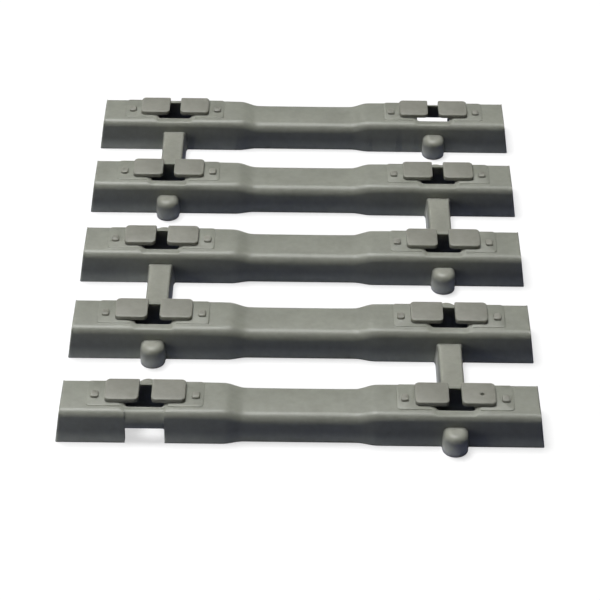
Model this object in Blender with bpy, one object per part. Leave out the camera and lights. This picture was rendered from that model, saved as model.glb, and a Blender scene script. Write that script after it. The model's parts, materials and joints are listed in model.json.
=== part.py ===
"""Sleeper strip of a 1:87 model railway track section, without its rails.

Five concrete-style sleepers run along X and are spaced along Y. The sleeper tops carry raised clip plates
that hold two rails, and slim webs under the rail lines join each sleeper to the next, on alternate sides,
so the strip bends sideways into a curve. Z = 0 is the surface that the strip lies on, and the origin is
under the middle sleeper's centre.
"""

from math import copysign, pi

import bmesh
import bpy
from mathutils import Vector

MM = 0.001

# Strip
SLEEPER_COUNT = 5
SLEEPER_SPACING = 7.5 * MM  # 650 mm on the real railway
RAIL_SPREAD = 17.5 * MM  # between the rails' centre lines: 16.5 mm gauge and a 1 mm rail head
FIT = 0.02 * MM  # clearance between two pieces that meet face to face

# Sleeper
SLEEPER_LENGTH = 27.6 * MM
SLEEPER_HEIGHT = 2.05 * MM
BASE_WIDTH = 3.4 * MM
TOP_WIDTH = 3.0 * MM
END_TAPER = 0.3 * MM  # how much shorter the top is, at each end
TOP_ROUNDING = 0.4 * MM
WAIST_LENGTH = 6.4 * MM  # the low, narrow middle
WAIST_SHOULDER = 1.2 * MM  # the slope from the waist up to each full section
WAIST_BASE_WIDTH = 2.92 * MM
WAIST_TOP_WIDTH = 2.9 * MM
WAIST_HEIGHT = 1.8 * MM
SIDE_WALL = 0.45 * MM
END_WALL = 0.7 * MM
ROOF = 0.6 * MM

# Rail seat: a shallow groove across the sleeper, over a core hole that opens into the hollow
SEAT_WIDTH = 2.2 * MM
SEAT_DEPTH = 0.08 * MM
CORE_LENGTH = 1.96 * MM  # along the rail
CORE_OFFSET = 0.1 * MM  # the core hole sits this much behind the sleeper's centre line

# Clip plates and bolts
RAIL_SLOT = 0.72 * MM  # between the two plates of a chair
CLIP_WIDTH = 1.92 * MM
CLIP_LENGTH = 1.8 * MM
CLIP_THICKNESS = 0.28 * MM
CLIP_OFFSET = 0.25 * MM  # the plates sit this much behind the sleeper's centre line
CLIP_CORNER = 0.18 * MM
BOLT_WIDTH = 0.46 * MM
BOLT_LENGTH = 0.56 * MM
BOLT_HEIGHT = 0.16 * MM
BOLT_CORNER = 0.08 * MM
BOLT_GAP = 0.35 * MM  # from a plate's outer edge to the bolt

# Webs
WEB_HEIGHT = 1.33 * MM
WEB_BASE_WIDTH = 1.58 * MM
WEB_TOP_WIDTH = 1.35 * MM
WEB_ROUNDING = 0.1 * MM
TONGUE_REACH = 2.64 * MM  # from a sleeper's centre line to the tip of a cut web

# End notches, which take a neighbouring strip's tongue
NOTCH_WIDTH = 2.25 * MM
NOTCH_HEIGHT = 1.0 * MM

OVERSHOOT = 0.5 * MM  # how far a cutter runs past what it cuts
ROUND_STEPS = 4
TONGUE_SIDES = 32
SAME_POINT = 1e-8

LEFT, RIGHT = -1, 1
FRONT, BACK = -1, 1
SIDE_NAME = {LEFT: "left", RIGHT: "right"}
MIDDLE = (SLEEPER_COUNT + 1) // 2
PLASTIC = (0.27, 0.27, 0.25, 1)
WEB_PLASTIC = (0.32, 0.32, 0.31, 1)
CLIP_PLASTIC = (0.33, 0.33, 0.3, 1)


def clear_scene():
    for thing in list(bpy.data.objects):
        bpy.data.objects.remove(thing)


def new_collection(name):
    collection = bpy.data.collections.new(name)
    bpy.context.scene.collection.children.link(collection)
    return collection


def plastic(name, color, roughness):
    material = bpy.data.materials.new(name)
    material.use_nodes = True
    shader = material.node_tree.nodes["Principled BSDF"]
    shader.inputs["Base Color"].default_value = color
    shader.inputs["Roughness"].default_value = roughness
    shader.inputs["Metallic"].default_value = 0
    return material


def mesh_of(shape, name, material=None):
    """A mesh from a bmesh, which it uses up."""
    mesh = bpy.data.meshes.new(name)
    shape.to_mesh(mesh)
    shape.free()
    if material:
        mesh.materials.append(material)
    return mesh


def add(name, mesh, collection, parent=None, at=(0, 0, 0), turn=0):
    """An object at a place in the world, under its parent."""
    thing = bpy.data.objects.new(name, mesh)
    collection.objects.link(thing)
    thing.parent = parent
    thing.location = Vector(at) - (world_place(parent) if parent else Vector())
    thing.rotation_euler.z = turn
    return thing


def world_place(thing):
    place = Vector()
    while thing:
        place += thing.location
        thing = thing.parent
    return place


def sleeper_y(number):
    return (number - MIDDLE) * SLEEPER_SPACING


def rail_x(side):
    return side * RAIL_SPREAD / 2


def web_side(number):
    """The side of the whole web between this sleeper and the next: right, left, right, left."""
    return RIGHT if number % 2 else LEFT


def sleeper_section(x):
    """Half the base width, half the top width and the height, at x from the sleeper's middle."""
    full = (abs(x) - WAIST_LENGTH / 2) / WAIST_SHOULDER
    full = min(max(full, 0), 1)
    waist = (WAIST_BASE_WIDTH / 2, WAIST_TOP_WIDTH / 2, WAIST_HEIGHT)
    end = (BASE_WIDTH / 2, TOP_WIDTH / 2, SLEEPER_HEIGHT)
    return [a + (b - a) * full for a, b in zip(waist, end)]


def wall_y(x, z):
    """How far the sleeper's sloping side is from its centre line, at this place and height."""
    base, top, height = sleeper_section(x)
    return base + (top - base) * z / height


def sleeper_bar(half_length, taper=0, wall=0, roof=0, below=0):
    """A bar with the sleeper's waisted, tapered section, its sides inset by wall and its top by roof."""
    bar = bmesh.new()
    bmesh.ops.create_cube(bar, size=2)
    bmesh.ops.scale(bar, vec=(half_length, 1, 1), verts=bar.verts)
    for side in (LEFT, RIGHT):
        for x in (WAIST_LENGTH / 2, WAIST_LENGTH / 2 + WAIST_SHOULDER):
            everything = bar.verts[:] + bar.edges[:] + bar.faces[:]
            bmesh.ops.bisect_plane(
                bar, geom=everything, dist=SAME_POINT, plane_co=(side * x, 0, 0), plane_no=(1, 0, 0)
            )
    for corner in bar.verts:
        x, y, z = corner.co
        z = sleeper_section(x)[2] - roof if z > 0 else -below
        y = copysign(wall_y(x, z) - wall, y)
        if abs(x) > half_length - SAME_POINT and z > 0:
            x -= copysign(taper, x)
        corner.co = (x, y, z)
    return bar


def round_edges(shape, width, wanted, steps=ROUND_STEPS):
    """Rounds the edges that wanted(first corner, second corner) picks. The bevel runs on the shape in
    millimetres, because its own tolerance is as large as these roundings are in metres."""
    picked = [e for e in shape.edges if wanted(e.verts[0].co, e.verts[1].co)]
    bmesh.ops.scale(shape, vec=[1 / MM] * 3, verts=shape.verts)
    bmesh.ops.bevel(
        shape,
        geom=picked,
        offset=width / MM,
        offset_type="OFFSET",
        segments=steps,
        profile=0.5,
        affect="EDGES",
    )
    bmesh.ops.scale(shape, vec=[MM] * 3, verts=shape.verts)


def sleeper_mesh(material):
    bar = sleeper_bar(SLEEPER_LENGTH / 2, taper=END_TAPER)
    lowest_top = WAIST_HEIGHT / 2
    round_edges(
        bar,
        TOP_ROUNDING,
        lambda a, b: min(a.z, b.z) > lowest_top and a.y * b.y > 0,
    )
    return mesh_of(bar, "sleeper", material)


def box(width, length, height):
    """A box centred on X and Y, standing on Z = 0."""
    shape = bmesh.new()
    bmesh.ops.create_cube(shape, size=1)
    bmesh.ops.scale(shape, vec=(width, length, height), verts=shape.verts)
    bmesh.ops.translate(shape, vec=(0, 0, height / 2), verts=shape.verts)
    return shape


def plate_mesh(name, width, length, height, corner, material):
    """A flat plate with round corners and a softened top edge."""
    plate = box(width, length, height)
    round_edges(plate, corner, lambda a, b: abs(a.z - b.z) > height / 2)
    round_edges(plate, corner / 3, lambda a, b: min(a.z, b.z) > height / 2, steps=2)
    return mesh_of(plate, name, material)


def web_width(z):
    return WEB_BASE_WIDTH + (WEB_TOP_WIDTH - WEB_BASE_WIDTH) * z / WEB_HEIGHT


def web_mesh(material):
    """A whole web, from one sleeper's side to the next one's, centred between them."""
    web = box(1, 1, 1)
    for corner in web.verts:
        z = corner.co.z * WEB_HEIGHT
        half_run = SLEEPER_SPACING / 2 - wall_y(rail_x(RIGHT), z) - FIT
        corner.co = (copysign(web_width(z) / 2, corner.co.x), copysign(half_run, corner.co.y), z)
    round_edges(web, WEB_ROUNDING, lambda a, b: min(a.z, b.z) > WEB_HEIGHT / 2 and a.x * b.x > 0, steps=2)
    return mesh_of(web, "web", material)


def tongue_mesh(material):
    """A cut web: from the sleeper's front side to a half-round end, upright at its tip."""
    tongue = bmesh.new()
    bmesh.ops.create_cone(
        tongue,
        cap_ends=True,
        segments=TONGUE_SIDES,
        radius1=WEB_BASE_WIDTH / 2,
        radius2=WEB_TOP_WIDTH / 2,
        depth=WEB_HEIGHT,
    )
    for corner in tongue.verts:
        x, y, z = corner.co
        z += WEB_HEIGHT / 2
        if y > SAME_POINT:
            x = copysign(web_width(z) / 2, x)
            y = -wall_y(rail_x(RIGHT), z) - FIT
        else:
            y += web_width(z) / 2 - TONGUE_REACH
        corner.co = (x, y, z)
    bmesh.ops.remove_doubles(tongue, verts=tongue.verts, dist=SAME_POINT)
    mesh = mesh_of(tongue, "tongue", material)
    mesh.shade_smooth()
    mesh.set_sharp_from_angle(angle=pi / 6)
    return mesh


def add_cutters(number, sleeper, holder):
    """The hollow, the core holes, the rail seats and, on an end sleeper, the notch. All belong to one sleeper."""
    cutters = bpy.data.collections.new(f"sleeper_{number}_cutters")
    holder.children.link(cutters)
    y = sleeper_y(number)

    def cutter(name, shape, at):
        thing = add(f"{name}_cutter_{number}", mesh_of(shape, name), cutters, sleeper, at)
        thing.hide_render = True
        thing.display_type = "WIRE"

    hollow = sleeper_bar(
        SLEEPER_LENGTH / 2 - END_WALL, taper=END_TAPER, wall=SIDE_WALL, roof=ROOF, below=OVERSHOOT
    )
    cutter("hollow", hollow, (0, y, 0))
    seat_z = SLEEPER_HEIGHT - SEAT_DEPTH
    roof_z = SLEEPER_HEIGHT - ROOF
    for side in (LEFT, RIGHT):
        core = box(SEAT_WIDTH, CORE_LENGTH, ROOF + 2 * OVERSHOOT)
        cutter(f"core_{SIDE_NAME[side]}", core, (rail_x(side), y + CORE_OFFSET, roof_z - OVERSHOOT))
        seat = box(SEAT_WIDTH, BASE_WIDTH + 2 * OVERSHOOT, SEAT_DEPTH + OVERSHOOT)
        cutter(f"seat_{SIDE_NAME[side]}", seat, (rail_x(side), y, seat_z))
    for end, last in ((FRONT, 1), (BACK, SLEEPER_COUNT)):
        if number == last:
            side = notch_side(end)
            notch = box(NOTCH_WIDTH, SIDE_WALL + 2 * OVERSHOOT, NOTCH_HEIGHT + OVERSHOOT)
            wall_middle = wall_y(rail_x(side), 0) - SIDE_WALL / 2
            cutter("notch", notch, (rail_x(side), y + end * wall_middle, -OVERSHOOT))

    cut = sleeper.modifiers.new("hollow_holes_and_seats", "BOOLEAN")
    cut.operation = "DIFFERENCE"
    cut.operand_type = "COLLECTION"
    cut.solver = "EXACT"
    cut.collection = cutters


def notch_side(end):
    """The side of a strip's end notch, where the whole web would come if the strip went on. The end's tongue is
    on the other side."""
    return web_side(0 if end == FRONT else SLEEPER_COUNT)


def add_chair(number, side, collection, sleeper, meshes):
    """Two clip plates with the rail slot between them, and a bolt beyond each."""
    y = sleeper_y(number)
    top = SLEEPER_HEIGHT + FIT
    plate_x = (RAIL_SLOT + CLIP_WIDTH) / 2
    bolt_x = RAIL_SLOT / 2 + CLIP_WIDTH + BOLT_GAP + BOLT_WIDTH / 2
    for place, away in (("outer", side), ("inner", -side)):
        name = f"{SIDE_NAME[side]}_{place}_{number}"
        plate_at = (rail_x(side) + away * plate_x, y + CLIP_OFFSET, top)
        add(f"clip_{name}", meshes["clip"], collection, sleeper, plate_at)
        bolt_at = (rail_x(side) + away * bolt_x, y, top)
        add(f"bolt_{name}", meshes["bolt"], collection, sleeper, bolt_at)


def add_webs(collection, sleepers, meshes):
    """A whole web on one side of each gap, and two facing tongues where the other side's web is cut."""

    def tongue(name, number, side, end):
        at = (rail_x(side), sleeper_y(number), 0)
        turn = 0 if end == FRONT else pi
        add(name, meshes["tongue"], collection, sleepers[number], at, turn)

    for number in range(1, SLEEPER_COUNT):
        whole = web_side(number)
        inner = min((number, number + 1), key=lambda n: abs(n - MIDDLE))
        at = (rail_x(whole), sleeper_y(number) + SLEEPER_SPACING / 2, 0)
        add(f"web_{SIDE_NAME[whole]}_{number}_{number + 1}", meshes["web"], collection, sleepers[inner], at)
        tongue(f"tongue_back_{SIDE_NAME[-whole]}_{number}", number, -whole, BACK)
        tongue(f"tongue_front_{SIDE_NAME[-whole]}_{number + 1}", number + 1, -whole, FRONT)
    tongue(f"end_tongue_front_{SIDE_NAME[-notch_side(FRONT)]}", 1, -notch_side(FRONT), FRONT)
    tongue(f"end_tongue_back_{SIDE_NAME[-notch_side(BACK)]}", SLEEPER_COUNT, -notch_side(BACK), BACK)


def add_pivots(collection):
    """One empty for each sleeper. A moving sleeper's is on its bending axis, halfway along the whole web that
    leads towards the middle sleeper, and hangs from the next sleeper's."""
    pivots = {MIDDLE: add("strip_root", None, collection)}
    for step in range(1, SLEEPER_COUNT - MIDDLE + 1):
        for end in (FRONT, BACK):
            number = MIDDLE + end * step
            if not 1 <= number <= SLEEPER_COUNT:
                continue
            bay = min(number, number - end)
            at = (rail_x(web_side(bay)), sleeper_y(bay) + SLEEPER_SPACING / 2, 0)
            pivots[number] = add(f"pivot_{number}", None, collection, pivots[number - end], at)
    return pivots


def main():
    clear_scene()
    strip = new_collection("track_sleeper_strip")
    cutters = new_collection("cutters")
    sleeper_plastic = plastic("sleeper_plastic", PLASTIC, 0.55)
    clip_plastic = plastic("clip_plastic", CLIP_PLASTIC, 0.5)
    web_plastic = plastic("web_plastic", WEB_PLASTIC, 0.5)
    meshes = {
        "sleeper": sleeper_mesh(sleeper_plastic),
        "clip": plate_mesh("clip", CLIP_WIDTH, CLIP_LENGTH, CLIP_THICKNESS, CLIP_CORNER, clip_plastic),
        "bolt": plate_mesh("bolt", BOLT_WIDTH, BOLT_LENGTH, BOLT_HEIGHT, BOLT_CORNER, clip_plastic),
        "web": web_mesh(web_plastic),
        "tongue": tongue_mesh(web_plastic),
    }
    pivots = add_pivots(strip)
    sleepers = {}
    for number in range(1, SLEEPER_COUNT + 1):
        at = (0, sleeper_y(number), 0)
        sleepers[number] = add(f"sleeper_{number}", meshes["sleeper"], strip, pivots[number], at)
        add_cutters(number, sleepers[number], cutters)
        for side in (LEFT, RIGHT):
            add_chair(number, side, strip, sleepers[number], meshes)
    add_webs(strip, sleepers, meshes)


main()
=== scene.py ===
"""Looks of a model railway sleeper strip: moulded grey sleepers, clip plates, bolt heads and the webs that
join the sleepers, on a plain pale floor.

Shapes are modelled in millimetres, because Blender's bevel is too coarse for metres at this size, and
become metres when a piece is finished. Their places come from the frame.
"""

import json
import math

import bmesh
import bpy
from bpy.props import FloatProperty, FloatVectorProperty, IntProperty, PointerProperty
from mathutils import Matrix, Vector


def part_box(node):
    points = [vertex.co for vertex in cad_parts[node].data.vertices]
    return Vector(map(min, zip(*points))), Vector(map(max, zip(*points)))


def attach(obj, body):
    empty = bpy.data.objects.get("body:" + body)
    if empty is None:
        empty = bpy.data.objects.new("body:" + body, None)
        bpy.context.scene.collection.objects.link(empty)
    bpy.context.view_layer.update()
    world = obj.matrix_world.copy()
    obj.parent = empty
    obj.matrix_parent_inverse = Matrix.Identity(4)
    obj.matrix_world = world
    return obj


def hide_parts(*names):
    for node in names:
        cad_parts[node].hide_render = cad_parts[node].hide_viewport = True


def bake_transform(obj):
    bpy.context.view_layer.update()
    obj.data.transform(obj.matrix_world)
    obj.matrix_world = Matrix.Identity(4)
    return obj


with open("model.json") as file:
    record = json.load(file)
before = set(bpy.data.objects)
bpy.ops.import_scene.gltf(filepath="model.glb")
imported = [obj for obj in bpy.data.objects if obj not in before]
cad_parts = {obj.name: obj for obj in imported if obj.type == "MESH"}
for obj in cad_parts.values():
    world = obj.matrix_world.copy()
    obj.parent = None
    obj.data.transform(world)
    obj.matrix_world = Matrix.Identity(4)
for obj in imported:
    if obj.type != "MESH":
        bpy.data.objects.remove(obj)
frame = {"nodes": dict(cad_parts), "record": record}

bl_info = {
    "name": "Model railway sleeper strip",
    "version": (1, 0, 0),
    "blender": (4, 5, 0),
    "location": "View3D > Sidebar > Sleeper strip",
    "description": "Builds the visible pieces of a moulded sleeper strip",
    "category": "Add Mesh",
}

MM = 0.001
LEFT, RIGHT = -1, 1
FRONT, BACK = -1, 1
SLEEPERS = sorted(name for name in frame["nodes"] if name.startswith("sleeper_"))
BODY_OF = {node: body for body, nodes in frame["record"]["behaviour"]["bodies"].items() for node in nodes}


# ---- Fixed values, in millimetres ----

OVER = 0.5  # how far a cutter runs past what it cuts
SAME = 1e-4  # coordinates closer than this are the same
CORNER_SLACK = 1e-3  # how near a plate's corner an edge counts as being at it
END_SLACK = 0.01  # how near a bar's end an edge counts as being at it
END_EDGE = 0.1  # an end's upright edges are longer than this, and its top is above it
PAD_BACK = 0.45  # from a sleeper's back edge to its pads
PAD_SUNK = 0.4  # how far a pad's body reaches down into the sleeper
PAD_CORNER = 0.2
PAD_EDGE = 0.03
HOLLOW_ROUNDING = 0.2
HOLLOW_END_ROUNDING = 0.15
WEB_END_ROUNDING = 0.001
GATE_FROM_CENTRE = Vector((0.19, -0.11, 0))  # where the pit is on its plate

# ---- Fixed counts, shares and angles ----

TOP_SHARE = 0.7  # an edge above this share of a bar's height is along its top
BAR_ROUNDING_STEPS = 6
SEAT_CURVE_STEPS = 8
WEB_STEPS = 49
TONGUE_LEVELS = (0.0, 0.3, 0.6)  # shares of a cut web's height, below its rounded top edge
TONGUE_ROUNDING_STEPS = 5
NOSE_STEPS = 28
FLARE_STEPS = 4
SMOOTH_ANGLE = math.radians(38)
CRISP_ANGLE = math.radians(40)


# ---- Colours ----


def linear(hex_colour):
    """An sRGB hex colour as linear red, green, blue and 1."""
    parts = [int(hex_colour[i : i + 2], 16) / 255 for i in (1, 3, 5)]
    return [c / 12.92 if c <= 0.04045 else ((c + 0.055) / 1.055) ** 2.4 for c in parts] + [1]


# ---- What the frame says, in millimetres ----


def box_mm(node):
    low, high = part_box(node)
    return low / MM, high / MM


def size_mm(node):
    low, high = box_mm(node)
    return high - low


def middle_mm(node):
    low, high = box_mm(node)
    return (low + high) / 2


def rail_x():
    """Distance from the strip's centre line to a rail's."""
    return middle_mm("web_right_1_2").x


def sleeper_number(node):
    return int(node.rsplit("_", 1)[1])


# ---- Sizes and colours that a user would change ----


def length(name, description, default, **more):
    more = {"unit": "LENGTH", "precision": 5, **more}
    return FloatProperty(name=name, description=description, default=default, **more)


class SleeperSizes(bpy.types.PropertyGroup):
    top_width: length("Top width", "Width of a sleeper's top over the rail seats", 0.003)
    end_taper: length("End taper", "How much shorter the top is, at each end", 0.0003)
    top_rounding: length("Top rounding", "Radius along the top's long edges", 0.00042)
    waist_rounding: length("Waist rounding", "Radius along the waist's long edges", 0.0006)
    end_rounding: length("End rounding", "Radius of the edges at the ends", 0.0001)
    waist_length: length("Waist length", "Length of the low, narrow middle", 0.0064)
    shoulder: length("Shoulder", "Length of the slope from the waist to the full section", 0.0012)
    waist_base_width: length("Waist base width", "Width at the bottom of the waist", 0.00295)
    waist_top_width: length("Waist top width", "Width at the top of the waist", 0.00294)
    waist_height: length("Waist height", "Height of the waist", 0.0018)
    side_wall: length("Side wall", "Wall of the hollow underside", 0.00045)
    end_wall: length("End wall", "Wall at each end", 0.0007)
    roof: length("Roof", "Thickness over the hollow", 0.0006)
    crisp_edge: length("Crisp edge", "Radius of the edges where the mould's parts meet", 0.000035)
    steps: IntProperty(name="Steps", description="Cuts along a sleeper", default=138, min=20)


class ChairSizes(bpy.types.PropertyGroup):
    seat_width: length("Seat width", "Width of the rail seat and of its core hole", 0.0022)
    seat_depth: length("Seat depth", "How far the rail seat is below the sleeper's top", 0.00008)
    seat_lead_in: length("Seat lead-in", "From a sleeper's side to where the seat curves down", 0.0006)
    seat_slope: length("Seat slope", "Width of the slope along each side of the rail seat", 0.00022)
    core_length: length("Core length", "Length of the core hole along the rail", 0.00196)
    core_corner: length("Core corner", "Radius of the core hole's corners", 0.0002)
    core_offset: length("Core offset", "How far the core hole is behind a sleeper's centre line", 0.0001)
    pad_length: length("Pad length", "Raised pad under a chair, across the track", 0.0066)
    pad_height: length("Pad height", "How far the pad stands above the sleeper's top", 0.00004)
    pad_front: length("Pad front", "From a sleeper's centre line to the pad's front edge", 0.00092)
    clip_corner: length("Clip corner", "Radius of a plate's outer corners", 0.00026)
    clip_front_corner: length("Clip front corner", "Radius of a plate's front corner at the rail", 0.00028)
    clip_back_corner: length("Clip back corner", "Radius of a plate's back corner at the rail", 0.00008)
    clip_edge: length("Clip edge", "Radius along a plate's top edge", 0.00006)
    gate_mark: length("Gate mark", "Width of the pit on one plate", 0.00026)
    gate_depth: length("Gate depth", "Depth of that pit", 0.0002)
    bolt_edge: length("Bolt edge", "Radius along a bolt head's top edge", 0.00008)
    bolt_corner: length("Bolt corner", "Radius of a bolt head's corners", 0.00013)


class WebSizes(bpy.types.PropertyGroup):
    top_width: length("Top width", "Width of a web's top", 0.00135)
    tongue_base: length("Tongue base", "Width of a cut web's foot", 0.00146)
    top_rounding: length("Top rounding", "Radius along a web's top edges", 0.00015)
    tongue_rounding: length("Tongue rounding", "Radius along a cut web's top edge", 0.00038)
    root_flare: length("Root flare", "How much wider a web is where it meets a sleeper", 0.0001)
    root_length: length("Root length", "Length of that wider part", 0.00025)
    sink: length("Sink", "How far a web's end runs into the sleeper's wall", 0.0001)
    notch_width: length("Notch width", "Width of the notch for a neighbour's tongue", 0.00225)
    notch_height: length("Notch height", "Height of that notch", 0.001)
    notch_corner: length("Notch corner", "Radius of the notch's top corners", 0.00008)


class PlasticLook(bpy.types.PropertyGroup):
    sleeper: FloatVectorProperty(
        name="Sleeper", description="Sleeper colour", subtype="COLOR", size=4, default=linear("#888A80")
    )
    clip: FloatVectorProperty(
        name="Clips", description="Clip and bolt colour", subtype="COLOR", size=4, default=linear("#86867D")
    )
    web: FloatVectorProperty(
        name="Webs", description="Web colour", subtype="COLOR", size=4, default=linear("#8C8D83")
    )
    roughness: FloatProperty(
        name="Roughness", description="Sheen of the moulding", default=0.46, min=0, max=1
    )
    sheer: FloatProperty(
        name="Sheer", description="Share of the light that enters", default=1.0, min=0, max=1
    )
    sheer_depth: length("Sheer depth", "How far light spreads inside the plastic", 0.00035)
    # Painted light: a sleeper's base colour is painted paler near its bottom, up to the height below,
    # standing for light bounced from the floor.
    foot_painted_light: FloatProperty(name="Foot glow", description="How much paler the foot is", default=2.2, min=1)
    foot_painted_light_height: length("Foot height", "Height where the foot's paler tint ends", 0.0009)
    web_depth: length("Web depth", "How far light spreads inside the slim webs", 0.0009)
    # Painted light: a web's base colour is painted paler near its bottom, up to the height below, standing
    # for light bounced from the floor.
    web_painted_light: FloatProperty(name="Web glow", description="How much paler a web's foot is", default=3.2, min=1)
    web_painted_light_height: length("Web glow height", "Height where that tint ends", 0.0012)


class StageLook(bpy.types.PropertyGroup):
    key_power: FloatProperty(name="Key power", description="Overhead soft light", default=2.1, unit="POWER")
    fill_power: FloatProperty(name="Fill power", description="Front light", default=0.01, unit="POWER")
    near_power: FloatProperty(
        name="Near power", description="Low light at the front left", default=0.01, unit="POWER"
    )
    sky: FloatProperty(name="Sky", description="Strength of the even light all round", default=0.015)


SETTINGS = {
    "sleeper_sizes": SleeperSizes,
    "chair_sizes": ChairSizes,
    "web_sizes": WebSizes,
    "plastic_look": PlasticLook,
    "stage_look": StageLook,
}


# ---- Node trees ----


def add_node(tree, kind, inputs=None, **settings):
    """Adds a node, with its settings, and its inputs by name or number. Each is a value or a socket."""
    node = tree.nodes.new(kind)
    for key, value in settings.items():
        setattr(node, key, value)
    for key, value in (inputs or {}).items():
        if isinstance(value, bpy.types.NodeSocket):
            tree.links.new(value, node.inputs[key])
        else:
            node.inputs[key].default_value = value
    return node


def new_tree(name, floats, others=()):
    """An empty geometry tree with named inputs, and the sockets that they give inside it."""
    tree = bpy.data.node_groups.new(name, "GeometryNodeTree")
    tree.interface.new_socket("Geometry", in_out="OUTPUT", socket_type="NodeSocketGeometry")
    for each, kind in [(each, "NodeSocketFloat") for each in floats] + list(others):
        tree.interface.new_socket(each, in_out="INPUT", socket_type=kind)
    return tree, add_node(tree, "NodeGroupInput").outputs


def math_node(tree, operation, *values, **settings):
    """A Math node's result. Each value is a number or a socket."""
    node = add_node(tree, "ShaderNodeMath", dict(enumerate(values)), operation=operation, **settings)
    return node.outputs[0]


def mix(tree, share, low, high):
    """low where share is 0, high where it is 1."""
    return math_node(tree, "MULTIPLY_ADD", math_node(tree, "SUBTRACT", high, low), share, low)


def finish_tree(tree, geometry, material):
    """Realize Instances and Set Material, which every tree ends in."""
    real = add_node(tree, "GeometryNodeRealizeInstances", {0: geometry}).outputs[0]
    painted = add_node(tree, "GeometryNodeSetMaterial", {0: real, "Material": material}).outputs[0]
    add_node(tree, "NodeGroupOutput", {0: painted})
    return tree


BAR_SIZES = (
    "Length",
    "Base Width",
    "Top Width",
    "Height",
    "Waist Length",
    "Shoulder",
    "Waist Base Width",
    "Waist Top Width",
    "Waist Height",
    "End Taper",
    "Bottom",
)


def waisted_bar_tree():
    """A bar along X whose section eases from a waist to a full end. Its sides lean in to the top, and its
    top is shorter than its base by the taper at each end."""
    tree, size = new_tree(
        "waisted_bar", BAR_SIZES, (("Steps", "NodeSocketInt"), ("Material", "NodeSocketMaterial"))
    )
    unit = add_node(
        tree,
        "GeometryNodeMeshCube",
        {"Size": (1, 1, 1), "Vertices X": size["Steps"], "Vertices Y": 2, "Vertices Z": 2},
    )
    position = add_node(tree, "GeometryNodeInputPosition").outputs[0]
    place = add_node(tree, "ShaderNodeSeparateXYZ", {0: position})
    x = math_node(tree, "MULTIPLY", place.outputs["X"], size["Length"])
    waist_end = math_node(tree, "MULTIPLY", size["Waist Length"], 0.5)
    full = add_node(
        tree,
        "ShaderNodeMapRange",
        {
            "Value": math_node(tree, "ABSOLUTE", x),
            "From Min": waist_end,
            "From Max": math_node(tree, "ADD", waist_end, size["Shoulder"]),
        },
        interpolation_type="SMOOTHSTEP",
    ).outputs["Result"]
    base = mix(tree, full, size["Waist Base Width"], size["Base Width"])
    top = mix(tree, full, size["Waist Top Width"], size["Top Width"])
    height = mix(tree, full, size["Waist Height"], size["Height"])
    up = math_node(tree, "ADD", place.outputs["Z"], 0.5)
    z = mix(tree, up, size["Bottom"], height)
    slope = math_node(tree, "DIVIDE", z, height)
    width = mix(tree, slope, base, top)
    shrink = math_node(tree, "DIVIDE", math_node(tree, "MULTIPLY", size["End Taper"], -2), size["Length"])
    x = math_node(tree, "MULTIPLY", x, mix(tree, slope, 1, math_node(tree, "ADD", shrink, 1)))
    y = math_node(tree, "MULTIPLY", place.outputs["Y"], width)
    moved = add_node(tree, "ShaderNodeCombineXYZ", {"X": x, "Y": y, "Z": z}).outputs[0]
    shaped = add_node(tree, "GeometryNodeSetPosition", {0: unit.outputs[0], "Position": moved}).outputs[0]
    return finish_tree(tree, shaped, size["Material"])


def minus_or_plus_one(tree, zero_or_one):
    return math_node(tree, "SUBTRACT", math_node(tree, "MULTIPLY", zero_or_one, 2), 1)


def four_on_a_sleeper_tree():
    """Sets a shape down four times on one sleeper, on both sides of both rails, each facing away from its
    rail."""
    tree, size = new_tree(
        "four_on_a_sleeper",
        ("Rail X", "From Rail", "Along", "Up"),
        (("Shape", "NodeSocketObject"), ("Material", "NodeSocketMaterial")),
    )
    points = add_node(tree, "GeometryNodePoints", {"Count": 4}).outputs[0]
    index = add_node(tree, "GeometryNodeInputIndex").outputs[0]
    rail = minus_or_plus_one(tree, math_node(tree, "MODULO", index, 2))
    side = minus_or_plus_one(tree, math_node(tree, "GREATER_THAN", index, 1.5))
    rail_at = math_node(tree, "MULTIPLY", rail, size["Rail X"])
    x = math_node(tree, "ADD", rail_at, math_node(tree, "MULTIPLY", side, size["From Rail"]))
    at = add_node(tree, "ShaderNodeCombineXYZ", {"X": x, "Y": size["Along"], "Z": size["Up"]}).outputs[0]
    placed = add_node(tree, "GeometryNodeSetPosition", {0: points, "Position": at}).outputs[0]
    # A scale of -1 along X faces the shape's outer end away from the rail on the other side.
    facing = add_node(tree, "ShaderNodeCombineXYZ", {"X": side, "Y": 1.0, "Z": 1.0}).outputs[0]
    shape = add_node(tree, "GeometryNodeObjectInfo", {"Object": size["Shape"]}).outputs["Geometry"]
    copies = add_node(
        tree, "GeometryNodeInstanceOnPoints", {"Points": placed, "Instance": shape, "Scale": facing}
    ).outputs[0]
    return finish_tree(tree, copies, size["Material"])


def run_tree(tree, name, values):
    """The mesh that a tree makes with these inputs. Its modifier's object is removed."""
    host = bpy.data.objects.new(name, bpy.data.meshes.new(name))
    bpy.context.scene.collection.objects.link(host)
    modifier = host.modifiers.new("shape", "NODES")
    modifier.node_group = tree
    keys = {item.name: item.identifier for item in tree.interface.items_tree if item.in_out == "INPUT"}
    for key, value in values.items():
        modifier[keys[key]] = value
    return applied(host)


def applied(thing):
    """An object's evaluated mesh, with the object removed."""
    bpy.context.view_layer.update()
    evaluated = thing.evaluated_get(bpy.context.evaluated_depsgraph_get())
    mesh = bpy.data.meshes.new_from_object(evaluated)
    mesh.name = thing.name
    bpy.data.objects.remove(thing)
    return mesh


# ---- Shapes, in millimetres ----


def round_edges(shape, radius, wanted, steps=4):
    """Rounds the edges that wanted(first corner, second corner) picks."""
    picked = [e for e in shape.edges if wanted(e.verts[0].co, e.verts[1].co)]
    bmesh.ops.bevel(
        shape, geom=picked, offset=radius, offset_type="OFFSET", segments=steps, profile=0.5, affect="EDGES"
    )


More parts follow.
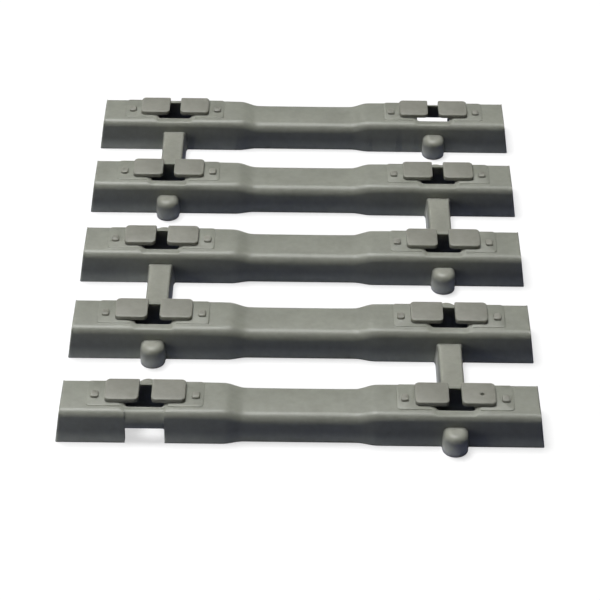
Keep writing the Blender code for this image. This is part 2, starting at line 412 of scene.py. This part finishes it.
def box_shape(size, centre):
    shape = bmesh.new()
    bmesh.ops.create_cube(shape, size=1)
    bmesh.ops.scale(shape, vec=size, verts=shape.verts)
    bmesh.ops.translate(shape, vec=centre, verts=shape.verts)
    return shape


def mesh_from(shape, name):
    mesh = bpy.data.meshes.new(name)
    bmesh.ops.recalc_face_normals(shape, faces=shape.faces)
    shape.to_mesh(mesh)
    shape.free()
    return mesh


def extruded_shape(corners, along):
    """A bar: the face with these corners, drawn out along a vector."""
    shape = bmesh.new()
    end = shape.faces.new([shape.verts.new(corner) for corner in corners])
    grown = bmesh.ops.extrude_face_region(shape, geom=[end])["geom"]
    moved = [each for each in grown if isinstance(each, bmesh.types.BMVert)]
    bmesh.ops.translate(shape, vec=along, verts=moved)
    return shape


def helper(name, mesh):
    thing = bpy.data.objects.new(name, mesh)
    bpy.context.scene.collection.objects.link(thing)
    return thing


def cut_and_join(thing, shapes, operation):
    """Boolean modifiers on a helper object, one for each shape."""
    tools = []
    for number, shape in enumerate(shapes):
        tool = helper(f"{thing.name}_tool_{operation}_{number}", mesh_from(shape, "tool"))
        modifier = thing.modifiers.new(f"{operation}_{number}", "BOOLEAN")
        modifier.operation = operation
        modifier.solver = "EXACT"
        modifier.object = tool
        tools.append(tool)
    return tools


def finished_piece(name, mesh, at, material, nodes):
    """A piece in metres, at its place in the frame, which stands for its CAD nodes."""
    mesh.transform(Matrix.Scale(MM, 4) @ Matrix.Translation(at))
    mesh.shade_smooth()
    mesh.set_sharp_from_angle(angle=SMOOTH_ANGLE)
    mesh.materials.clear()
    mesh.materials.append(material)
    piece = helper(name, mesh)
    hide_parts(*nodes)
    return piece


# ---- The pieces ----


def bar_values(sizes, height, base_width, total_length, steps, inset=0, end_inset=0, roof=0, bottom=0.0):
    """The waisted bar's inputs for a sleeper, or for its hollow, which is that much smaller."""
    return {
        "Length": total_length - 2 * end_inset,
        "Base Width": base_width - 2 * inset,
        "Top Width": sizes.top_width / MM - 2 * inset,
        "Height": height - roof,
        "Waist Length": sizes.waist_length / MM,
        "Shoulder": sizes.shoulder / MM,
        "Waist Base Width": sizes.waist_base_width / MM - 2 * inset,
        "Waist Top Width": sizes.waist_top_width / MM - 2 * inset,
        "Waist Height": sizes.waist_height / MM - roof,
        "End Taper": sizes.end_taper / MM,
        "Bottom": bottom,
        "Steps": steps,
    }


def rounded_bar(tree, name, values, long_rounding, end_rounding, waist_rounding=None):
    """A waisted bar with its top's long edges and its end edges rounded."""
    waist_rounding = waist_rounding or long_rounding
    widest = max(long_rounding, waist_rounding)
    mesh = run_tree(tree, name, values)
    shape = bmesh.new()
    shape.from_mesh(mesh)
    lowest_top = min(values["Waist Height"], values["Height"]) * TOP_SHARE
    half_top = values["Length"] / 2 - max(values["End Taper"], 0) - END_SLACK

    def along_top(a, b):
        return min(a.z, b.z) > lowest_top and a.y * b.y > 0 and abs(a.x - b.x) > SAME

    def at_end(a, b):
        across_or_up = a.y * b.y < 0 or abs(a.z - b.z) > END_EDGE
        return min(abs(a.x), abs(b.x)) > half_top and across_or_up and max(a.z, b.z) > END_EDGE

    weights = shape.edges.layers.float.new("bevel_weight_edge")
    for edge in shape.edges:
        a, b = (v.co for v in edge.verts)
        if along_top(a, b):
            full = (abs(a.x + b.x) - values["Waist Length"]) / 2 / values["Shoulder"]
            full = min(max(full, 0), 1)
            edge[weights] = (waist_rounding + (long_rounding - waist_rounding) * full) / widest
        elif at_end(a, b):
            edge[weights] = end_rounding / widest
    shape.to_mesh(mesh)
    shape.free()
    bar = helper(name, mesh)
    bevel = bar.modifiers.new("rounding", "BEVEL")
    bevel.limit_method = "WEIGHT"
    bevel.width = widest
    bevel.segments = BAR_ROUNDING_STEPS
    return applied(bar)


def pad_shape(x, height, width, chair):
    """The raised pad under a chair. Its body is sunk into the sleeper."""
    above = chair.pad_height / MM
    front, back = chair.pad_front / MM, width / 2 - PAD_BACK
    pad = box_shape(
        (chair.pad_length / MM, front + back, PAD_SUNK + above),
        (x, (back - front) / 2, height + above - (PAD_SUNK + above) / 2),
    )
    round_edges(pad, PAD_CORNER, lambda a, b: abs(a.z - b.z) > PAD_SUNK / 2)
    round_edges(pad, PAD_EDGE, lambda a, b: min(a.z, b.z) > height, steps=2)
    return pad


def core_shape(x, height, roof, chair):
    """The cutter for a core hole."""
    core = box_shape(
        (chair.seat_width / MM, chair.core_length / MM, roof + 2 * OVER),
        (x, chair.core_offset / MM, height - roof / 2),
    )
    round_edges(core, chair.core_corner / MM, lambda a, b: abs(a.z - b.z) > roof)
    return core


def seat_shape(x, height, width, chair):
    """The cutter for a rail seat. Its sides slope, and so blend softly into the pad."""
    half = chair.seat_width / MM / 2
    floor = height - chair.seat_depth / MM
    rise = (height + OVER - floor) * (chair.seat_slope / MM) / (height - floor)
    start = -(width / 2 + OVER)
    corners = [
        (x - half, start, floor),
        (x + half, start, floor),
        (x + half + rise, start, height + OVER),
        (x - half - rise, start, height + OVER),
    ]
    return extruded_shape(corners, (0, -2 * start, 0))


def slope_over_notch(x, end, height, width, sizes, chair, webs):
    """The cutter over a notch, where the wall curves from the rail seat down to the notch's top."""
    half = chair.seat_width / MM / 2
    floor = height - chair.seat_depth / MM
    flat = width / 2 - chair.seat_lead_in / MM
    notch_top = webs.notch_height / MM
    lip = width / 2 - wall_lean(notch_top, sizes)
    turns = [math.pi / 2 * step / SEAT_CURVE_STEPS for step in range(SEAT_CURVE_STEPS + 1)]
    outline = [
        (end * (flat + (lip - flat) * math.sin(turn)), notch_top + (floor - notch_top) * math.cos(turn))
        for turn in turns
    ]
    outline += [
        (end * (lip + OVER), notch_top),
        (end * (lip + OVER), floor + OVER),
        (end * flat, floor + OVER),
    ]
    return extruded_shape([(x - half, y, z) for y, z in outline], (2 * half, 0, 0))


def sleeper_mesh(tree, number, sizes, chair, webs):
    """One sleeper: a rounded bar with raised pads, less its hollow, core holes, rail seats and notch."""
    name = f"sleeper_{number}"
    size = size_mm(name)
    height, width = size.z, size.y
    wall, roof = sizes.side_wall / MM, sizes.roof / MM
    outer = bar_values(sizes, height, width, size.x, sizes.steps)
    mesh = rounded_bar(
        tree, name, outer, sizes.top_rounding / MM, sizes.end_rounding / MM, sizes.waist_rounding / MM
    )
    body = helper(f"{name}_shape", mesh)

    pads, cores, seats = [], [], []
    for side in (LEFT, RIGHT):
        x = side * rail_x()
        pads.append(pad_shape(x, height, width, chair))
        cores.append(core_shape(x, height, roof, chair))
        seats.append(seat_shape(x, height, width, chair))
        for end, notched_side in notched_ends(number):
            if notched_side == side:
                seats.append(slope_over_notch(x, end, height, width, sizes, chair, webs))

    inner = bar_values(
        sizes, height, width, size.x, sizes.steps // 2, wall, sizes.end_wall / MM, roof, bottom=-OVER
    )
    inner_mesh = rounded_bar(tree, "hollow", inner, HOLLOW_ROUNDING, HOLLOW_END_ROUNDING)
    hollow_tool = helper("hollow_tool", inner_mesh)
    tools = cut_and_join(body, pads, "UNION")
    hollow = body.modifiers.new("hollow", "BOOLEAN")
    hollow.operation = "DIFFERENCE"
    hollow.solver = "EXACT"
    hollow.object = hollow_tool
    tools.append(hollow_tool)
    tools += cut_and_join(body, cores + seats + notches(number, width, wall, webs), "DIFFERENCE")
    bevel = body.modifiers.new("crisp_edges", "BEVEL")
    bevel.limit_method = "ANGLE"
    bevel.angle_limit = CRISP_ANGLE
    bevel.width = sizes.crisp_edge / MM
    bevel.segments = 2
    bevel.use_clamp_overlap = True
    mesh = applied(body)
    for tool in tools:
        bpy.data.objects.remove(tool)
    return mesh


def notched_ends(number):
    """The front sleeper's notch is on the left, and the back one's on the right."""
    return [(FRONT, LEFT)] * (number == 1) + [(BACK, RIGHT)] * (number == len(SLEEPERS))


def notches(number, width, wall, webs):
    """Cutters for an end sleeper's notch, which takes the next strip's tongue."""
    found = []
    high, corner = webs.notch_height / MM, webs.notch_corner / MM
    for end, side in notched_ends(number):
        notch = box_shape(
            (webs.notch_width / MM, wall + 2 * OVER, high + OVER),
            (side * rail_x(), end * (width - wall) / 2, (high - OVER) / 2),
        )
        round_edges(notch, corner, lambda a, b: min(a.z, b.z) > high / 2 and abs(a.y - b.y) > OVER, steps=3)
        found.append(notch)
    return found


class STRIP_OT_sleepers(bpy.types.Operator):
    """Build the sleepers"""

    bl_idname = "strip.sleepers"
    bl_label = "Sleepers"

    def execute(self, context):
        scene = context.scene
        tree = waisted_bar_tree()
        material = sleeper_plastic(scene.plastic_look)
        for node in SLEEPERS:
            number = sleeper_number(node)
            mesh = sleeper_mesh(tree, number, scene.sleeper_sizes, scene.chair_sizes, scene.web_sizes)
            at = Vector((0, middle_mm(node).y, 0))
            piece = finished_piece(f"{node}_moulding", mesh, at, material, [node])
            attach(piece, BODY_OF[node])
        return {"FINISHED"}


def plate_prototype(name, size, corner, front_corner, back_corner, edge):
    """A plate standing on Z = 0 with its rail side at -X, where its front and back corners are its own."""
    plate = box_shape(size, (0, 0, size.z / 2))

    def upright(a, b):
        return abs(a.z - b.z) > size.z / 2 and abs(a.x - b.x) < SAME

    half_x, half_y = size.x / 2 - CORNER_SLACK, size.y / 2 - CORNER_SLACK
    round_edges(plate, back_corner, lambda a, b: upright(a, b) and a.x < -half_x and a.y > half_y, steps=3)
    round_edges(plate, front_corner, lambda a, b: upright(a, b) and a.x < -half_x and a.y < -half_y, steps=6)
    round_edges(plate, corner, lambda a, b: upright(a, b) and a.x > half_x, steps=5)
    round_edges(plate, edge, lambda a, b: min(a.z, b.z) > size.z / 2, steps=3)
    return helper(name, mesh_from(plate, name))


def build_fours(kind, prototype, from_rail, bottom, material, pit=None):
    """A piece on each sleeper with four of one shape, in place of that sleeper's four nodes of this kind. The
    front one may have a pit, given by its centre and its half sizes."""
    tree = four_on_a_sleeper_tree()
    for sleeper in SLEEPERS:
        number = sleeper_number(sleeper)
        nodes = [n for n in frame["nodes"] if n.startswith(f"{kind}_") and sleeper_number(n) == number]
        values = {
            "Rail X": rail_x(),
            "From Rail": from_rail,
            "Along": middle_mm(nodes[0]).y,
            "Up": bottom,
            "Shape": prototype,
            "Material": material,
        }
        mesh = run_tree(tree, f"{kind}s_{number}", values)
        flip_mirrored(mesh)
        if number == 1 and pit:
            mesh = pitted(mesh, pit)
        piece = finished_piece(f"{kind}s_{number}", mesh, Vector(), material, nodes)
        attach(piece, BODY_OF[sleeper])
    bpy.data.objects.remove(prototype)


def pitted(mesh, pit):
    """The mesh with a round pit, such as the one where the mould's gate was broken off."""
    centre, half_sizes = pit
    ball = bmesh.new()
    bmesh.ops.create_icosphere(ball, subdivisions=3, radius=1)
    bmesh.ops.scale(ball, vec=half_sizes, verts=ball.verts)
    bmesh.ops.translate(ball, vec=centre, verts=ball.verts)
    thing = helper(mesh.name, mesh)
    (tool,) = cut_and_join(thing, [ball], "DIFFERENCE")
    cut = applied(thing)
    bpy.data.objects.remove(tool)
    return cut


def flip_mirrored(mesh):
    """Turns the faces of mirrored copies the right way out."""
    shape = bmesh.new()
    shape.from_mesh(mesh)
    bmesh.ops.recalc_face_normals(shape, faces=shape.faces)
    shape.to_mesh(mesh)
    shape.free()


class STRIP_OT_clip_plates(bpy.types.Operator):
    """Build the clip plates"""

    bl_idname = "strip.clip_plates"
    bl_label = "Clip plates"

    def execute(self, context):
        chair = context.scene.chair_sizes
        low, high = box_mm("clip_right_outer_3")
        bottom = box_mm("sleeper_3")[1].z + chair.pad_height / MM
        size = Vector((high.x - low.x, high.y - low.y, high.z - bottom))
        corners = (chair.clip_corner / MM, chair.clip_front_corner / MM, chair.clip_back_corner / MM)
        prototype = plate_prototype("clip_plate", size, *corners, chair.clip_edge / MM)
        from_rail = (low.x + high.x) / 2 - rail_x()
        material = clip_plastic(context.scene.plastic_look)
        marked_low, marked_high = box_mm("clip_right_outer_1")
        centre = (marked_low + marked_high) / 2 + GATE_FROM_CENTRE
        centre.z = marked_high.z
        half = chair.gate_mark / MM / 2
        pit = (centre, Vector((half, half, chair.gate_depth / MM)))
        build_fours("clip", prototype, from_rail, bottom, material, pit)
        return {"FINISHED"}


class STRIP_OT_bolt_heads(bpy.types.Operator):
    """Build the bolt heads"""

    bl_idname = "strip.bolt_heads"
    bl_label = "Bolt heads"

    def execute(self, context):
        chair = context.scene.chair_sizes
        low, high = box_mm("bolt_right_outer_3")
        bottom = box_mm("sleeper_3")[1].z
        size = Vector((high.x - low.x, high.y - low.y, high.z - bottom))
        corners = (chair.bolt_corner / MM,) * 3
        prototype = plate_prototype("bolt_head", size, *corners, chair.bolt_edge / MM)
        from_rail = (low.x + high.x) / 2 - rail_x()
        material = clip_plastic(context.scene.plastic_look)
        build_fours("bolt", prototype, from_rail, bottom, material)
        return {"FINISHED"}


class STRIP_OT_whole_webs(bpy.types.Operator):
    """Build the whole webs, which run between two sleepers"""

    bl_idname = "strip.whole_webs"
    bl_label = "Whole webs"

    def execute(self, context):
        sizes = context.scene.web_sizes
        tree = bpy.data.node_groups.get("waisted_bar") or waisted_bar_tree()
        material = web_plastic(context.scene.plastic_look)
        for node in sorted(n for n in frame["nodes"] if n.startswith("web_")):
            size, middle = size_mm(node), middle_mm(node)
            sink = sizes.sink / MM
            top_run = size.y + 2 * sink
            base_run = top_run - 2 * wall_lean(size.z, context.scene.sleeper_sizes)
            flare = sizes.root_flare / MM
            root = sizes.root_length / MM + sink
            values = {
                "Length": base_run,
                "Base Width": size.x + 2 * flare,
                "Top Width": sizes.top_width / MM + 2 * flare,
                "Height": size.z,
                "Waist Length": base_run - 2 * root,
                "Shoulder": root,
                "Waist Base Width": size.x,
                "Waist Top Width": sizes.top_width / MM,
                "Waist Height": size.z,
                "End Taper": -(top_run - base_run) / 2,
                "Bottom": 0.0,
                "Steps": WEB_STEPS,
            }
            mesh = rounded_bar(tree, node, values, sizes.top_rounding / MM, WEB_END_ROUNDING)
            mesh.transform(Matrix.Rotation(math.pi / 2, 4, "Z"))
            at = Vector((middle.x, middle.y, 0))
            piece = finished_piece(f"{node}_moulding", mesh, at, material, [node])
            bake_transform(piece)
        return {"FINISHED"}


def wall_lean(height, sizes):
    """How far a sleeper's side has leaned in at this height."""
    sleeper = size_mm("sleeper_3")
    return (sleeper.y - sizes.top_width / MM) / 2 * height / sleeper.z


class STRIP_OT_cut_webs(bpy.types.Operator):
    """Build the cut webs, which end in a half-round"""

    bl_idname = "strip.cut_webs"
    bl_label = "Cut webs"

    def execute(self, context):
        sizes = context.scene.web_sizes
        material = web_plastic(context.scene.plastic_look)
        for node in sorted(n for n in frame["nodes"] if "tongue" in n):
            body = BODY_OF[node]
            sleeper = next(n for n in SLEEPERS if BODY_OF[n] == body)
            low, high = box_mm(node)
            forward = FRONT if middle_mm(node).y < middle_mm(sleeper).y else BACK
            mesh = tongue_mesh(node, low, high, sizes, wall_lean(high.z, context.scene.sleeper_sizes))
            if forward == BACK:
                mesh.transform(Matrix.Rotation(math.pi, 4, "Z"))
            at = Vector(((low.x + high.x) / 2, middle_mm(sleeper).y, 0))
            piece = finished_piece(f"{node}_moulding", mesh, at, material, [node])
            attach(piece, body)
        return {"FINISHED"}


def tongue_mesh(name, low, high, sizes, lean):
    """Rings from the base to the rounded top edge. Each has a flared root and a half-round nose, and the
    noses are upright at their tips."""
    base_half, top_half = sizes.tongue_base / MM / 2, sizes.top_width / MM / 2
    height, rounding = high.z, sizes.tongue_rounding / MM
    sleeper_half = size_mm("sleeper_3").y / 2
    reach = sleeper_half + (high.y - low.y) - lean
    levels = [(height * share, 0.0) for share in TONGUE_LEVELS]
    levels += [
        (height - rounding + rounding * math.sin(turn), rounding * (1 - math.cos(turn)))
        for turn in (math.pi / 2 * step / TONGUE_ROUNDING_STEPS for step in range(TONGUE_ROUNDING_STEPS + 1))
    ]
    shape = bmesh.new()
    rings = []
    for z, inset in levels:
        half = base_half + (top_half - base_half) * z / height
        root = -(sleeper_half - lean * z / height) + sizes.sink / MM
        ring = tongue_outline(half - inset, half - reach, root, sizes.root_flare / MM, sizes.root_length / MM)
        rings.append([shape.verts.new((x, y, z)) for x, y in ring])
    for lower, upper in zip(rings, rings[1:]):
        for i in range(len(lower)):
            j = (i + 1) % len(lower)
            shape.faces.new((lower[i], lower[j], upper[j], upper[i]))
    shape.faces.new(rings[0])
    shape.faces.new(rings[-1])
    return mesh_from(shape, name)


def tongue_outline(half, nose, root, flare, root_length):
    """A tongue's plan, anticlockwise from its root's left corner: flare, nose and flare again."""
    shares = [step / FLARE_STEPS for step in range(FLARE_STEPS + 1)]
    ease = [(flare * (1 - math.sin(math.pi / 2 * share)), share) for share in shares]
    left = [(-half - wide, root - root_length * share) for wide, share in ease]
    turns = [math.pi + math.pi * step / NOSE_STEPS for step in range(NOSE_STEPS + 1)]
    arc = [(half * math.cos(turn), nose + half * math.sin(turn)) for turn in turns]
    right = [(-x, y) for x, y in reversed(left)]
    return left + arc + right


# ---- Materials ----

POLYSTYRENE_IOR = 1.55
SCATTER_COLOUR = (1.0, 1.0, 0.95)
# Each noise's scale per millimetre, detail and roughness.
CLOUDS = (0.45, 3, 0.55)
MOTTLE = (2.6, 4, 0.6)
GRAIN = (11.0, 2, 0.6)
DARKEST, LIGHTEST = 0.86, 1.1  # shares of the colour
EVEN_LOW, EVEN_HIGH = 0.32, 0.68  # the part of the noise that spans them
SMOOTHER, ROUGHER = 0.06, 0.08  # how far the roughness strays
BUMP_STRENGTH = 0.35
BUMP_DEPTH = 0.00002


def noise(tree, place, scale, detail, roughness):
    values = {"Vector": place, "Scale": scale, "Detail": detail, "Roughness": roughness}
    return add_node(tree, "ShaderNodeTexNoise", values).outputs["Fac"]


def half_of_each(tree, one, other):
    return math_node(
        tree, "ADD", math_node(tree, "MULTIPLY", one, 0.5), math_node(tree, "MULTIPLY", other, 0.5)
    )


def moulded_plastic(kind, colour, look, seed, depth, painted_light, painted_light_height):
    """Injection-moulded polystyrene, self-coloured grey, made once for each kind. The mould's fine
    spark-eroded skin keeps it satin, and flow leaves faint clouds a few millimetres across. Near the bottom
    the base colour is painted paler, as painted light standing for the floor's bounce on the foot."""
    name = f"moulded_polystyrene_{kind}"
    if name in bpy.data.materials:
        return bpy.data.materials[name]
    material = bpy.data.materials.new(name)
    material.use_nodes = True
    tree = material.node_tree
    shader = tree.nodes["Principled BSDF"]
    shader.inputs["IOR"].default_value = POLYSTYRENE_IOR
    shader.inputs["Subsurface Weight"].default_value = look.sheer
    shader.inputs["Subsurface Radius"].default_value = SCATTER_COLOUR
    shader.inputs["Subsurface Scale"].default_value = depth
    place = add_node(tree, "ShaderNodeTexCoord").outputs["Object"]
    in_mm = add_node(
        tree, "ShaderNodeMapping", {"Vector": place, "Location": (seed, seed / 2, 0), "Scale": (1 / MM,) * 3}
    ).outputs[0]
    clouds = noise(tree, in_mm, *CLOUDS)
    mottle = noise(tree, in_mm, *MOTTLE)
    grain = noise(tree, in_mm, *GRAIN)

    dark = [c * DARKEST for c in colour[:3]] + [1]
    light = [min(c * LIGHTEST, 1) for c in colour[:3]] + [1]
    even = add_node(
        tree,
        "ShaderNodeMapRange",
        {"Value": half_of_each(tree, clouds, mottle), "From Min": EVEN_LOW, "From Max": EVEN_HIGH},
    ).outputs["Result"]
    base = add_node(tree, "ShaderNodeMix", data_type="RGBA")
    tree.links.new(even, base.inputs["Factor"])
    base.inputs["A"].default_value = dark
    base.inputs["B"].default_value = light
    # Painted light: towards the bottom, up to the given height, the base colour's value is raised by up to
    # the given share, standing for light bounced from the floor.
    up = add_node(tree, "ShaderNodeSeparateXYZ", {0: place}).outputs["Z"]
    paler = add_node(
        tree,
        "ShaderNodeMapRange",
        {"Value": up, "From Min": 0.0, "From Max": painted_light_height, "To Min": painted_light, "To Max": 1.0},
        interpolation_type="SMOOTHSTEP",
    ).outputs["Result"]
    colour_with_painted_light = add_node(tree, "ShaderNodeHueSaturation", {"Value": paler, "Color": base.outputs["Result"]})
    tree.links.new(colour_with_painted_light.outputs[0], shader.inputs["Base Color"])

    skin = add_node(
        tree,
        "ShaderNodeMapRange",
        {"Value": mottle, "To Min": look.roughness - SMOOTHER, "To Max": look.roughness + ROUGHER},
    )
    tree.links.new(skin.outputs["Result"], shader.inputs["Roughness"])
    height = half_of_each(tree, grain, mottle)
    bump = add_node(
        tree, "ShaderNodeBump", {"Height": height, "Strength": BUMP_STRENGTH, "Distance": BUMP_DEPTH}
    )
    tree.links.new(bump.outputs[0], shader.inputs["Normal"])
    return material


def sleeper_plastic(look):
    # Painted light: the sleeper's base colour is painted paler near its bottom.
    return moulded_plastic(
        "sleeper", look.sleeper, look, 0, look.sheer_depth, look.foot_painted_light, look.foot_painted_light_height
    )


def clip_plastic(look):
    return moulded_plastic("clip", look.clip, look, 7, look.sheer_depth, 1.0, look.foot_painted_light_height)


def web_plastic(look):
    # Painted light: a web's base colour is painted paler near its bottom.
    return moulded_plastic("web", look.web, look, 13, look.web_depth, look.web_painted_light, look.web_painted_light_height)


# ---- Stage, in metres and degrees ----

FLOOR_DROP = 0.00001
FLOOR_LIT = 0.6  # how much of the floor that the camera sees is plain white
# Each light's place, what it points at and how wide it is.
OVERHEAD = ((-0.08, 0.07, 0.4), (0, 0, 0), 0.22)
FRONT_LIGHT = ((-0.2, -0.4, 0.2), (0, 0, 0), 0.2)
NEAR_LEFT = ((-0.06, -0.05, 0.02), (-0.012, -0.015, 0), 0.03)
SENSOR_WIDTH_MM = 36
LENS_MM = 123.84
CLIP_START = 0.001
CAMERA_PLACE = (0.00013, -0.10393, 0.07742)
CAMERA_TURN, CAMERA_TILT, CAMERA_ROLL = 1.13, 52.42, -0.79


def pale_floor():
    """A matt pale surface under the strip. Light that bounces off it is dimmer than the floor looks."""
    material = bpy.data.materials.new("matt_white_paper")
    material.use_nodes = True
    tree = material.node_tree
    output = tree.nodes["Material Output"]
    tree.nodes.remove(tree.nodes["Principled BSDF"])
    paper = add_node(tree, "ShaderNodeBsdfDiffuse", {"Color": linear("#FAFAFA")}).outputs[0]
    lit = add_node(tree, "ShaderNodeEmission", {"Color": linear("#FFFFFF"), "Strength": 1.0}).outputs[0]
    seen = add_node(tree, "ShaderNodeMixShader", {0: FLOOR_LIT, 1: paper, 2: lit}).outputs[0]
    bounced = add_node(tree, "ShaderNodeBsdfDiffuse", {"Color": linear("#565A74")}).outputs[0]
    eye = add_node(tree, "ShaderNodeLightPath").outputs["Is Camera Ray"]
    mixed = add_node(tree, "ShaderNodeMixShader", {0: eye, 1: bounced, 2: seen}).outputs[0]
    tree.links.new(mixed, output.inputs["Surface"])
    return material


def soft_light(name, place, target, size, power):
    light = bpy.data.lights.new(name, "AREA")
    light.shape = "DISK"
    light.size = size
    light.energy = power
    lamp = bpy.data.objects.new(name, light)
    lamp.location = place
    lamp.rotation_euler = (Vector(target) - Vector(place)).to_track_quat("-Z", "Y").to_euler()
    bpy.context.scene.collection.objects.link(lamp)


class STRIP_OT_stage(bpy.types.Operator):
    """Set the floor, the lights and the camera"""

    bl_idname = "strip.stage"
    bl_label = "Stage"

    def execute(self, context):
        scene, look = context.scene, context.scene.stage_look
        shape = bmesh.new()
        bmesh.ops.create_grid(shape, x_segments=1, y_segments=1, size=1.0)
        floor = helper("floor", mesh_from(shape, "floor"))
        floor.data.materials.append(pale_floor())
        floor.location.z = -FLOOR_DROP

        world = bpy.data.worlds.new("studio")
        scene.world = world
        world.use_nodes = True
        world.node_tree.nodes["Background"].inputs["Strength"].default_value = look.sky
        world.node_tree.nodes["Background"].inputs["Color"].default_value = (1, 1, 1, 1)
        soft_light("overhead", *OVERHEAD, look.key_power)
        soft_light("front", *FRONT_LIGHT, look.fill_power)
        soft_light("near_left", *NEAR_LEFT, look.near_power)

        lens = bpy.data.cameras.new("camera")
        lens.sensor_width = SENSOR_WIDTH_MM
        lens.lens = LENS_MM
        lens.clip_start = CLIP_START
        camera = bpy.data.objects.new("camera", lens)
        camera.location = CAMERA_PLACE
        turn = Matrix.Rotation(math.radians(CAMERA_TURN), 3, "Z")
        tilt = Matrix.Rotation(math.radians(CAMERA_TILT), 3, "X")
        roll = Matrix.Rotation(math.radians(CAMERA_ROLL), 3, "Y")
        camera.rotation_euler = (turn @ tilt @ roll).to_euler()
        scene.collection.objects.link(camera)
        scene.camera = camera
        scene.view_settings.view_transform = "Standard"
        return {"FINISHED"}


# ---- Add-on ----

STEPS = (
    STRIP_OT_sleepers,
    STRIP_OT_clip_plates,
    STRIP_OT_bolt_heads,
    STRIP_OT_whole_webs,
    STRIP_OT_cut_webs,
    STRIP_OT_stage,
)


class STRIP_PT_panel(bpy.types.Panel):
    """Sizes, colours and steps of the sleeper strip"""

    bl_label = "Sleeper strip"
    bl_space_type = "VIEW_3D"
    bl_region_type = "UI"
    bl_category = "Sleeper strip"

    def draw(self, context):
        for name, group in SETTINGS.items():
            column = self.layout.column(align=True)
            for key in group.__annotations__:
                column.prop(getattr(context.scene, name), key)
        for step in STEPS:
            self.layout.operator(step.bl_idname)


def register():
    for group in SETTINGS.values():
        bpy.utils.register_class(group)
    for step in STEPS:
        bpy.utils.register_class(step)
    bpy.utils.register_class(STRIP_PT_panel)
    for name, group in SETTINGS.items():
        setattr(bpy.types.Scene, name, PointerProperty(type=group))


def unregister():
    for name in SETTINGS:
        delattr(bpy.types.Scene, name)
    for group in (STRIP_PT_panel, *STEPS, *SETTINGS.values()):
        bpy.utils.unregister_class(group)


def main():
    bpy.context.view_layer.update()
    register()
    bpy.ops.strip.sleepers()
    bpy.ops.strip.clip_plates()
    bpy.ops.strip.bolt_heads()
    bpy.ops.strip.whole_webs()
    bpy.ops.strip.cut_webs()
    bpy.ops.strip.stage()


if __name__ == "__main__":
    main()
